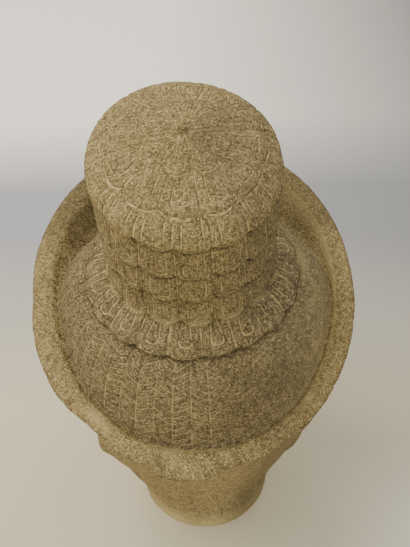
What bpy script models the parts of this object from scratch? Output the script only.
"""Stone head with a lotus topknot and a flared diadem, carved from one block.

The head stands on the flat cut of its neck. +Z is up and the face looks to -Y.
HEIGHT sets the size of the whole head. Every other length is in topknot radii,
and UNIT turns it into metres.
"""

import math

import bmesh
import bpy
import numpy as np

# Height of the whole head, the topknot's radius as a share of it, and the carved grid
HEIGHT = 0.302
HEIGHT_IN_RADII = 6.425
UNIT = HEIGHT / HEIGHT_IN_RADII
COLUMNS = 180
SOLID_TRIANGLES = 9700

# Heights, with zero at the topknot's foot
NECK_CUT = -4.45
GRID_BOTTOM = -4.62

# Diadem: an oval brim, higher at the front
RIM_HALF_WIDTH = 2.055
RIM_HALF_DEPTH = 2.13
RIM_CENTRE_X = 0.015
RIM_CENTRE_Y = -0.20
RIM_HEIGHT = -0.66
RIM_RISE = 0.84
RIM_LEFT_RISE = 0.10
RIM_SQUARENESS = 2.14
RIM_THICKNESS = 0.32
RIM_THINNER_AT_BACK = 0.10
RIM_THINNER_AT_RIGHT = 0.06
CHIP_DEPTH = 0.07
CHIP_ANGLE = math.radians(142.0)
CHIP_SPAN = math.radians(9.0)
BAND_HEIGHT = 0.80
BAND_EXTRA_AT_FRONT = 0.17
BAND_PETALS = 30

# Hair dome and the petal ring round the topknot's foot
RING_RADIUS = 1.27
RING_DROP = 0.17
RING_LEAN = 0.11
RING_PETALS = 20
RING_SWELL = 0.032
RING_TURN = math.radians(5.0)
WALL_WIDTH = 0.03
WALL_WIDER_AT_FRONT = 0.27
WALL_DEPTH = 0.03
WALL_DEEPER_AT_FRONT = 0.36
DOME_STEEPEST = math.radians(68.0)

# Topknot: hanging petals in tiers under a rosette, its top leaning to the back
TIER_EDGES = (0.0, 0.46, 0.90, 1.40)
TIER_PETALS = 16
TIER_STEP = 0.065
TIER_TURN = math.radians(15.5)
TOPKNOT_RADII = ((-0.1, 0.965), (0.40, 0.975), (0.75, 0.99), (1.05, 1.01), (1.50, 1.03))
SHOULDER_HEIGHT = 1.46
CROWN_HEIGHTS = ((0.0, 1.88), (0.3, 1.86), (0.6, 1.79), (0.88, 1.68), (0.98, 1.60),
                 (1.02, 1.55), (1.04, 1.46))
ROSETTE_RADIUS = 0.90
ROSETTE_PETALS = 12
FLOWER_RADIUS = 0.52
FLOWER_PETALS = 8
TOP_LEAN = 0.28
TOP_SIDE_LEAN = 0.05
TOP_SHIFT = 0.025
ROSETTE_TURN = math.radians(12.1)

# Tied block at the back of the diadem
CLASP_HALF_WIDTH = 0.37
CLASP_CENTRE_X = 0.11
CLASP_PROUD = 0.15

# Ears: how far the plate stands out, and the swelling of each lobe
EAR_PLATE = 0.09
LEFT_LOBE = 0.13
RIGHT_LOBE = 0.01

# Cross-sections of the neck and head, as height and reach
HALF_WIDTHS = ((-4.7, 0.99), (-4.4, 0.97), (-4.1, 1.01), (-3.8, 1.10), (-3.5, 1.17),
               (-3.1, 1.26), (-2.6, 1.39), (-2.1, 1.54), (-1.6, 1.67), (-0.9, 1.74))
CENTRE_X = ((-4.7, -0.06), (-4.0, -0.04), (-3.6, -0.01), (-3.2, -0.03), (-2.6, -0.03), (-1.4, 0.0))
FRONT_REACH = ((-4.7, 1.02), (-4.3, 0.98), (-4.0, 1.02), (-3.84, 1.22), (-3.68, 1.49),
               (-3.45, 1.62), (-3.0, 1.69), (-2.4, 1.75), (-1.7, 1.84), (-0.7, 1.90))
BACK_REACH = ((-4.7, 1.10), (-4.4, 1.05), (-4.1, 1.00), (-3.6, 1.02), (-3.1, 1.12),
              (-2.6, 1.28), (-2.1, 1.44), (-1.7, 1.52), (-0.9, 1.54))
WIDEST_AT = ((-4.7, 0.05), (-4.0, 0.05), (-3.4, 0.22), (-2.6, 0.32), (-1.6, 0.10), (-0.9, 0.0))
FRONT_SQUARENESS = ((-4.7, 2.0), (-4.0, 2.05), (-3.6, 2.4), (-3.0, 2.7), (-2.2, 2.6), (-0.7, 2.3))
BACK_SQUARENESS = ((-4.7, 2.0), (-4.0, 2.05), (-3.4, 2.3), (-2.2, 2.35), (-0.7, 2.2))


def ease(low, high, value):
    """Smooth step from 0 at low to 1 at high."""
    t = np.clip((value - low) / (high - low), 0.0, 1.0)
    return t * t * (3.0 - 2.0 * t)


def ridge(distance, width):
    """A rounded ridge of height 1 along distance = 0."""
    return np.exp(-(distance / width) ** 2)


def mound(dx, dz, half_x, half_z, power=2.0):
    """A rounded mound of height 1 over an oval."""
    inside = 1.0 - (dx / half_x) ** 2 - (dz / half_z) ** 2
    return np.clip(inside, 0.0, 1.0) ** power


def along(stops, value):
    """Smooth curve through the stops, read at value."""
    xs = np.array([stop[0] for stop in stops])
    ys = np.array([stop[1] for stop in stops])
    slopes = np.gradient(ys, xs)
    value = np.clip(value, xs[0], xs[-1])
    i = np.clip(np.searchsorted(xs, value, side="right") - 1, 0, len(xs) - 2)
    span = xs[i + 1] - xs[i]
    t = (value - xs[i]) / span
    h00 = (1.0 + 2.0 * t) * (1.0 - t) ** 2
    h10 = t * (1.0 - t) ** 2
    h01 = t * t * (3.0 - 2.0 * t)
    h11 = t * t * (t - 1.0)
    return h00 * ys[i] + h10 * span * slopes[i] + h01 * ys[i + 1] + h11 * span * slopes[i + 1]


def petal_phase(angle, count, turn):
    """0 on a petal's axis and 1 at the cusp between two petals."""
    phase = (angle - turn) * count / (2.0 * math.pi)
    return np.abs(phase - np.floor(phase) - 0.5) * 2.0


def rim_point(angle, inset):
    """Point of the diadem's top, drawn in from its outer edge."""
    sine, cosine = np.sin(angle), np.cos(angle)
    power = np.where(cosine > 0.0, 2.0 / RIM_SQUARENESS, 1.0)
    inset = inset + (CHIP_DEPTH - 0.2 * inset) * ridge(angle - CHIP_ANGLE, CHIP_SPAN)
    x = RIM_CENTRE_X + (RIM_HALF_WIDTH - inset) * np.sign(sine) * np.abs(sine) ** power
    y = RIM_CENTRE_Y - (RIM_HALF_DEPTH - inset) * np.sign(cosine) * np.abs(cosine) ** power
    z = RIM_HEIGHT + RIM_RISE * (RIM_CENTRE_Y - y) / RIM_HALF_DEPTH
    return x, y, z + RIM_LEFT_RISE * np.clip(sine, 0.0, 1.0) ** 1.5


def hairline(angle):
    """Height of the diadem's lower edge."""
    lift = RIM_RISE - BAND_EXTRA_AT_FRONT
    return RIM_HEIGHT - BAND_HEIGHT + lift * np.cos(angle)


def section_point(angle, z):
    """Point of the plain head or neck at this height."""
    sine = np.sin(angle)
    cosine = np.cos(angle)
    square = np.where(cosine > 0.0, along(FRONT_SQUARENESS, z), along(BACK_SQUARENESS, z))
    power = 2.0 / square
    middle = along(WIDEST_AT, z)
    front = along(FRONT_REACH, z) + middle
    back = along(BACK_REACH, z) - middle
    depth = np.where(cosine > 0.0, front, back)
    x = along(CENTRE_X, z) + along(HALF_WIDTHS, z) * np.sign(sine) * np.abs(sine) ** power
    y = middle - depth * np.sign(cosine) * np.abs(cosine) ** power
    return x, y


def face_relief(x, z):
    """How far the face's features stand forward of the plain head."""
    side = np.abs(x)
    down = np.clip((-1.56 - z) / 1.04, 0.0, 1.0)
    nose_width = 0.20 + 0.16 * down
    nose_end = ease(-2.80, -2.58, z) * ease(-1.40, -1.68, z)
    nose = (0.10 + 0.25 * down ** 1.1) * np.clip(1.0 - (x / nose_width) ** 2, 0, 1) ** 1.3
    out = nose * nose_end
    out += 0.17 * mound(side - 0.25, z + 2.57, 0.20, 0.18, 1.0)
    out += 0.06 * mound(x, z + 2.48, 0.28, 0.24)
    brow_line = -1.44 - 0.22 * ((side - 0.66) / 0.56) ** 2
    brow_span = ease(1.38, 1.12, side) * ease(0.02, 0.16, side)
    out += 0.055 * ridge(z - brow_line, 0.07) * brow_span
    out -= 0.17 * mound(side - 0.60, z + 1.86, 0.54, 0.36, 1.4)
    out += 0.20 * mound(side - 0.65, z + 1.99, 0.46, 0.21, 0.9)
    lid = -2.02 - 0.075 * np.clip(1.0 - ((side - 0.65) / 0.40) ** 2, 0.0, 1.0)
    lid_span = ease(1.09, 0.99, side) * ease(0.23, 0.31, side)
    out -= 0.05 * ridge(z - lid, 0.034) * lid_span
    out += 0.09 * mound(side - 0.80, z + 2.62, 0.60, 0.52)
    smile = 0.10 * np.clip(side / 0.60, 0.0, 1.2) ** 2
    upper = mound(x, z - smile + 2.96, 0.64, 0.15, 1.0)
    lower = mound(x, z - smile + 3.18, 0.54, 0.17, 1.0)
    out += 0.05 * mound(x, z + 3.05, 0.80, 0.42, 1.0)
    out += 0.13 * upper + 0.15 * lower
    out -= 0.07 * ridge(z - smile + 3.065, 0.038) * ease(0.74, 0.58, side)
    out -= 0.035 * ridge(x, 0.07) * ease(-2.95, -2.86, z) * ease(-2.70, -2.78, z)
    out -= 0.05 * mound(x, z + 3.36, 0.42, 0.09)
    out += 0.13 * mound(x, z + 3.56, 0.42, 0.26, 1.4)
    return out


def ear_relief(x, y, z):
    """How far an ear with its long lobe stands out of the side of the head."""
    low = ease(-2.35, -2.75, z)
    middle = 0.22 + 0.20 * low - 0.10 * (z + 2.35)
    half = 0.36 - 0.16 * low
    across = (y - middle) / half
    top = np.clip((z + 2.20) / 0.68, 0.0, 2.0)
    bottom = np.clip((-2.20 - z) / 1.06, 0.0, 2.0)
    reach = np.sqrt(across ** 2 + np.where(z > -2.20, top, 0.0) ** 2 + bottom ** 4)
    plate = EAR_PLATE * ease(1.14, 0.74, reach)
    helix = 0.07 * ridge(reach - 0.76, 0.16) * ease(-2.75, -2.45, z)
    bowl = 0.13 * mound(y - middle, z + 2.12, 0.22, 0.36)
    lobe = np.where(x > 0.0, LEFT_LOBE, RIGHT_LOBE) * mound(y - middle, z + 3.08, 0.32, 0.36, 1.0)
    return plate + helix - bowl + lobe


def carved_head(angle, z):
    """Point of the neck and head with face and ears."""
    x, y = section_point(angle, z)
    facing = ease(0.15, 0.75, np.cos(angle))
    y = y - facing * face_relief(x, z)
    beside = ease(0.45, 0.80, np.abs(np.sin(angle)))
    x = x + np.sign(x) * beside * ear_relief(x, y, z)
    return x, y, z


def diadem_face(angle, t, warp_angle):
    """Point of the diadem's flared outer side, from hairline (0) to brim (1)."""
    low_z = hairline(warp_angle)
    low_x, low_y, _ = carved_head(warp_angle, low_z)
    top_x, top_y, top_z = rim_point(angle, 0.0)
    out = 0.20 * ease(0.0, 0.10, t) + 0.80 * np.clip((t - 0.1) / 0.9, 0, 1) ** 1.2
    x = low_x + (top_x - low_x) * out
    y = low_y + (top_y - low_y) * out
    z = low_z + (top_z - 0.05 - low_z) * t
    phase = petal_phase(angle, BAND_PETALS, 0.0)
    tip = 0.72 - 0.20 * phase ** 2
    pad = ease(tip, tip - 0.05, t) * ease(0.20, 0.26, t) * ease(1.0, 0.78, phase)
    lip = ease(0.80, 0.86, t)
    fillet = ease(0.03, 0.08, t) * ease(0.19, 0.15, t)
    proud = 0.035 * pad + 0.04 * lip + 0.03 * fillet
    x, y = clasp(x + proud * np.sin(angle), y - proud * np.cos(angle), t)
    return x, y, z


def clasp(x, y, t):
    """Adds the tied block to the back of the diadem."""
    aside = x - CLASP_CENTRE_X
    block = ease(CLASP_HALF_WIDTH + 0.05, CLASP_HALF_WIDTH - 0.02, np.abs(aside))
    block = block * ease(0.0, 0.12, t) * (y > 0.0)
    knot = 0.05 * mound(aside, t - 0.55, 0.16, 0.40, 1.0) * (y > 0.0)
    return x, y + CLASP_PROUD * block * (1.0 - 0.3 * t) + knot


def rim_thickness(angle):
    """Width of the brim's top, which is less at the back."""
    right = RIM_THINNER_AT_RIGHT * np.clip(-np.sin(angle), 0.0, 1.0)
    return RIM_THICKNESS - right - RIM_THINNER_AT_BACK * ease(0.3, 1.0, -np.cos(angle))


def rim_top(angle, t):
    """Point of the brim's rounded top, from its outer edge (0) to its inner (1)."""
    thickness = rim_thickness(angle)
    x, y, z = rim_point(angle, thickness * t)
    crown = 0.05 * np.sin(math.pi * np.clip(t, 0.0, 1.0)) ** 0.5
    block_x, block_y = clasp(x, y, 1.0 + 0.0 * t)
    y = y + (block_y - y) * (1.0 - t)
    return block_x, y, z - 0.05 * (1.0 - t) + crown - 0.03 * t


def inner_wall(angle, share):
    """Point of the brim's sloping inner wall, from its top (0) to the hair (1)."""
    front = ease(-0.1, 0.8, np.cos(angle))
    width = WALL_WIDTH + WALL_WIDER_AT_FRONT * front
    x, y, z = rim_point(angle, rim_thickness(angle) + width * share)
    return x, y, z - 0.03 - (WALL_DEPTH + WALL_DEEPER_AT_FRONT * front) * share


def dome_point(angle, t):
    """Point of the hair dome, from the brim's wall (0) to the petal ring (1)."""
    low_x, low_y, low_z = inner_wall(angle, 1.0)
    top_x = (RING_RADIUS - 0.05) * np.sin(angle)
    top_y = -(RING_RADIUS - 0.05) * np.cos(angle)
    top_z = -RING_DROP - 0.02 + RING_LEAN * np.cos(angle)
    turn = (1.0 - t) * DOME_STEEPEST
    reach = np.sin(turn) / math.sin(DOME_STEEPEST)
    fall = (1.0 - np.cos(turn)) / (1.0 - math.cos(DOME_STEEPEST))
    x = top_x + (low_x - top_x) * reach
    y = top_y + (low_y - top_y) * reach
    z = top_z + (low_z - top_z) * fall
    return x, y, z


def ring_point(angle, t):
    """Point of the petal ring, from its scalloped edge (0) to the topknot (1)."""
    phase = petal_phase(angle, RING_PETALS, RING_TURN)
    scallop = 0.07 * np.sqrt(np.clip(1.0 - phase ** 2, 0.0, 1.0))
    edge = RING_RADIUS - 0.02 + scallop
    radius = edge + (1.0 - edge) * t
    slope = -RING_DROP * (1.0 - t ** 1.1) + RING_LEAN * np.cos(angle) * (1.0 - t)
    swell = RING_SWELL * np.sin(math.pi * np.clip(t * 0.88 + 0.10, 0, 1)) ** 0.7
    swell = swell * (1.0 - 0.25 * phase ** 12)
    x = (radius + 0.6 * swell) * np.sin(angle)
    y = -(radius + 0.6 * swell) * np.cos(angle)
    return x, y, slope + swell


def tier_relief(angle, height):
    """How far the hanging petals stand out, at a height on the topknot."""
    phase = petal_phase(angle, TIER_PETALS, TIER_TURN)
    drop = 0.07 * np.sqrt(np.clip(1.0 - phase ** 2, 0.0, 1.0))
    out = 0.0 * height
    for edge in TIER_EDGES:
        above = height - (edge - drop + 0.035)
        flare = np.clip(1.0 - above / 0.52, 0.0, 1.0)
        out = np.maximum(out, TIER_STEP * ease(-0.012, 0.012, above) * flare)
    return out - 0.022 * phase ** 10


def topknot_side(angle, height):
    """Point of the topknot's side at a height that ignores its leaning top."""
    radius = along(TOPKNOT_RADII, height) + tier_relief(angle, height)
    share = np.clip(height / SHOULDER_HEIGHT, 0.0, 1.2)
    lean = (TOP_LEAN * np.cos(angle) + TOP_SIDE_LEAN * np.sin(angle)) * share
    x = radius * np.sin(angle) + TOP_SHIFT * share
    return x, -radius * np.cos(angle), height + lean


def topknot_crown(angle, t):
    """Point of the topknot's shoulder and rosette, from side (0) to centre (1)."""
    outer = CROWN_HEIGHTS[-1][0]
    level = 1.0 - t ** 1.5
    radius = outer * level
    height = along(CROWN_HEIGHTS, radius)
    phase = petal_phase(angle, ROSETTE_PETALS, ROSETTE_TURN)
    tip = ROSETTE_RADIUS - 0.03 * phase ** 2 - 0.05 * phase ** 8
    pad = ease(tip + 0.015, tip - 0.015, radius) * (1.0 - 0.5 * phase ** 10)
    pad = pad * (0.3 + 0.7 * ease(0.62, 0.86, radius))
    inner_phase = petal_phase(angle, FLOWER_PETALS, ROSETTE_TURN)
    inner_tip = FLOWER_RADIUS - 0.09 * inner_phase ** 2
    inner = ease(inner_tip + 0.01, inner_tip - 0.02, radius) * (1.0 - 0.4 * inner_phase ** 8)
    skirt = tier_relief(angle, SHOULDER_HEIGHT + 0.4 * (outer - radius))
    skirt = skirt * ease(tip, tip + 0.04, radius)
    raised = 0.022 * pad + 0.010 * inner
    lean = (TOP_LEAN * np.cos(angle) + TOP_SIDE_LEAN * np.sin(angle)) * level
    reach = radius + skirt + 0.6 * raised * level
    x = reach * np.sin(angle) + TOP_SHIFT
    return x, -reach * np.cos(angle), height + lean + raised


def stations():
    """The grid's rows from the neck up, each a function of the column angle."""
    rows = []
    for t in np.linspace(0.0, 1.0, 96, endpoint=False):
        rows.append(("head", t))
    for t in np.linspace(0.0, 1.0, 22, endpoint=False):
        rows.append(("diadem", t))
    for t in np.linspace(0.0, 1.0, 8):
        rows.append(("rim", t))
    rows.append(("wall", 0.5))
    for t in np.linspace(0.0, 0.97, 18):
        rows.append(("dome", t ** 1.1))
    for t in np.linspace(0.0, 0.94, 9):
        rows.append(("ring", t))
    for t in np.linspace(-0.02, SHOULDER_HEIGHT, 46, endpoint=False):
        rows.append(("side", t))
    for t in np.linspace(0.0, 0.985, 34):
        rows.append(("crown", t))
    return rows


def row_points(kind, t, angle):
    """Points of one row for every column angle."""
    t = np.full_like(angle, t)
    close = angle - 0.34 * np.sin(angle)
    if kind == "head":
        z = GRID_BOTTOM + (hairline(close) - GRID_BOTTOM) * t
        return carved_head(close, z)
    if kind == "diadem":
        blend = ease(0.0, 1.0, t)
        return diadem_face(close + (angle - close) * blend, t, close)
    if kind == "rim":
        return rim_top(angle, t)
    if kind == "wall":
        return inner_wall(angle, t)
    if kind == "dome":
        return dome_point(angle, t)
    if kind == "ring":
        return ring_point(angle, t)
    if kind == "side":
        return topknot_side(angle, t)
    return topknot_crown(angle, t)


def carved_mesh():
    """Spins a plain post with one ring of vertices per row, then carves it."""
    rows = stations()
    bm = bmesh.new()
    last = None
    for index in range(len(rows)):
        vert = bm.verts.new((0.0, -1.0, float(index)))
        if last is not None:
            bm.edges.new((last, vert))
        last = vert
    bmesh.ops.spin(bm, geom=bm.verts[:] + bm.edges[:], cent=(0.0, 0.0, 0.0),
                   axis=(0.0, 0.0, 1.0), angle=2.0 * math.pi, steps=COLUMNS,
                   use_merge=True, use_duplicate=False)
    angle = np.arange(COLUMNS) * 2.0 * math.pi / COLUMNS
    grid = [np.array(row_points(kind, t, angle)) * UNIT for kind, t in rows]
    lift = -NECK_CUT * UNIT
    top_ring = []
    for vert in bm.verts:
        row = round(vert.co.z)
        turn = math.atan2(vert.co.x, -vert.co.y) % (2.0 * math.pi)
        column = round(turn * COLUMNS / (2.0 * math.pi)) % COLUMNS
        x, y, z = grid[row][:, column]
        vert.co = (x, y, z + lift)
        if row == len(rows) - 1:
            top_ring.append(vert)
    centre = (TOP_SHIFT * UNIT, 0.0, (CROWN_HEIGHTS[0][1] + 0.012) * UNIT + lift)
    bmesh.ops.holes_fill(bm, edges=bm.edges[:], sides=0)
    cap = [face for face in bm.faces if len(face.verts) > 4 and face.calc_center_median().z > lift]
    bmesh.ops.poke(bm, faces=cap)
    bmesh.ops.recalc_face_normals(bm, faces=bm.faces[:])
    for vert in bm.verts:
        if vert.co.z > lift and len(vert.link_edges) == COLUMNS:
            vert.co = centre
    bmesh.ops.triangulate(bm, faces=bm.faces[:])
    mesh = bpy.data.meshes.new("stone_head")
    bm.to_mesh(mesh)
    bm.free()
    return mesh


def lighten(obj, triangles):
    """Applies a collapse that keeps the carving within the triangle budget."""
    modifier = obj.modifiers.new("lighten", "DECIMATE")
    modifier.ratio = triangles / len(obj.data.polygons)
    modifier.use_symmetry = True
    modifier.symmetry_axis = "X"
    graph = bpy.context.evaluated_depsgraph_get()
    lighter = bpy.data.meshes.new_from_object(obj.evaluated_get(graph))
    obj.modifiers.clear()
    obj.data = lighter


def cut_flat(obj):
    """Cuts the neck flat at z = 0, closes it and rests the solid there."""
    bm = bmesh.new()
    bm.from_mesh(obj.data)
    everything = bm.verts[:] + bm.edges[:] + bm.faces[:]
    bmesh.ops.bisect_plane(bm, geom=everything, dist=1e-7, plane_co=(0.0, 0.0, 0.0),
                           plane_no=(0.0, 0.0, -1.0), clear_outer=True)
    bmesh.ops.holes_fill(bm, edges=bm.edges[:], sides=0)
    for vert in bm.verts:
        if abs(vert.co.z) < 1e-6:
            vert.co.z = 0.0
    bmesh.ops.recalc_face_normals(bm, faces=bm.faces[:])
    bmesh.ops.triangulate(bm, faces=[face for face in bm.faces if len(face.verts) > 3])
    for face in bm.faces:
        face.smooth = abs(face.normal.z + 1.0) > 1e-3
    bm.to_mesh(obj.data)
    bm.free()


def stone():
    """Weathered brown-grey sandstone."""
    material = bpy.data.materials.new("sandstone")
    material.use_nodes = True
    shader = material.node_tree.nodes["Principled BSDF"]
    shader.inputs["Base Color"].default_value = (0.215, 0.168, 0.105, 1.0)
    shader.inputs["Roughness"].default_value = 0.9
    shader.inputs["Metallic"].default_value = 0.0
    return material


def main():
    for obj in list(bpy.data.objects):
        bpy.data.objects.remove(obj)
    head = bpy.data.objects.new("stone_head", carved_mesh())
    bpy.context.scene.collection.objects.link(head)
    lighten(head, SOLID_TRIANGLES)
    cut_flat(head)
    head.data.materials.clear()
    head.data.materials.append(stone())


main()
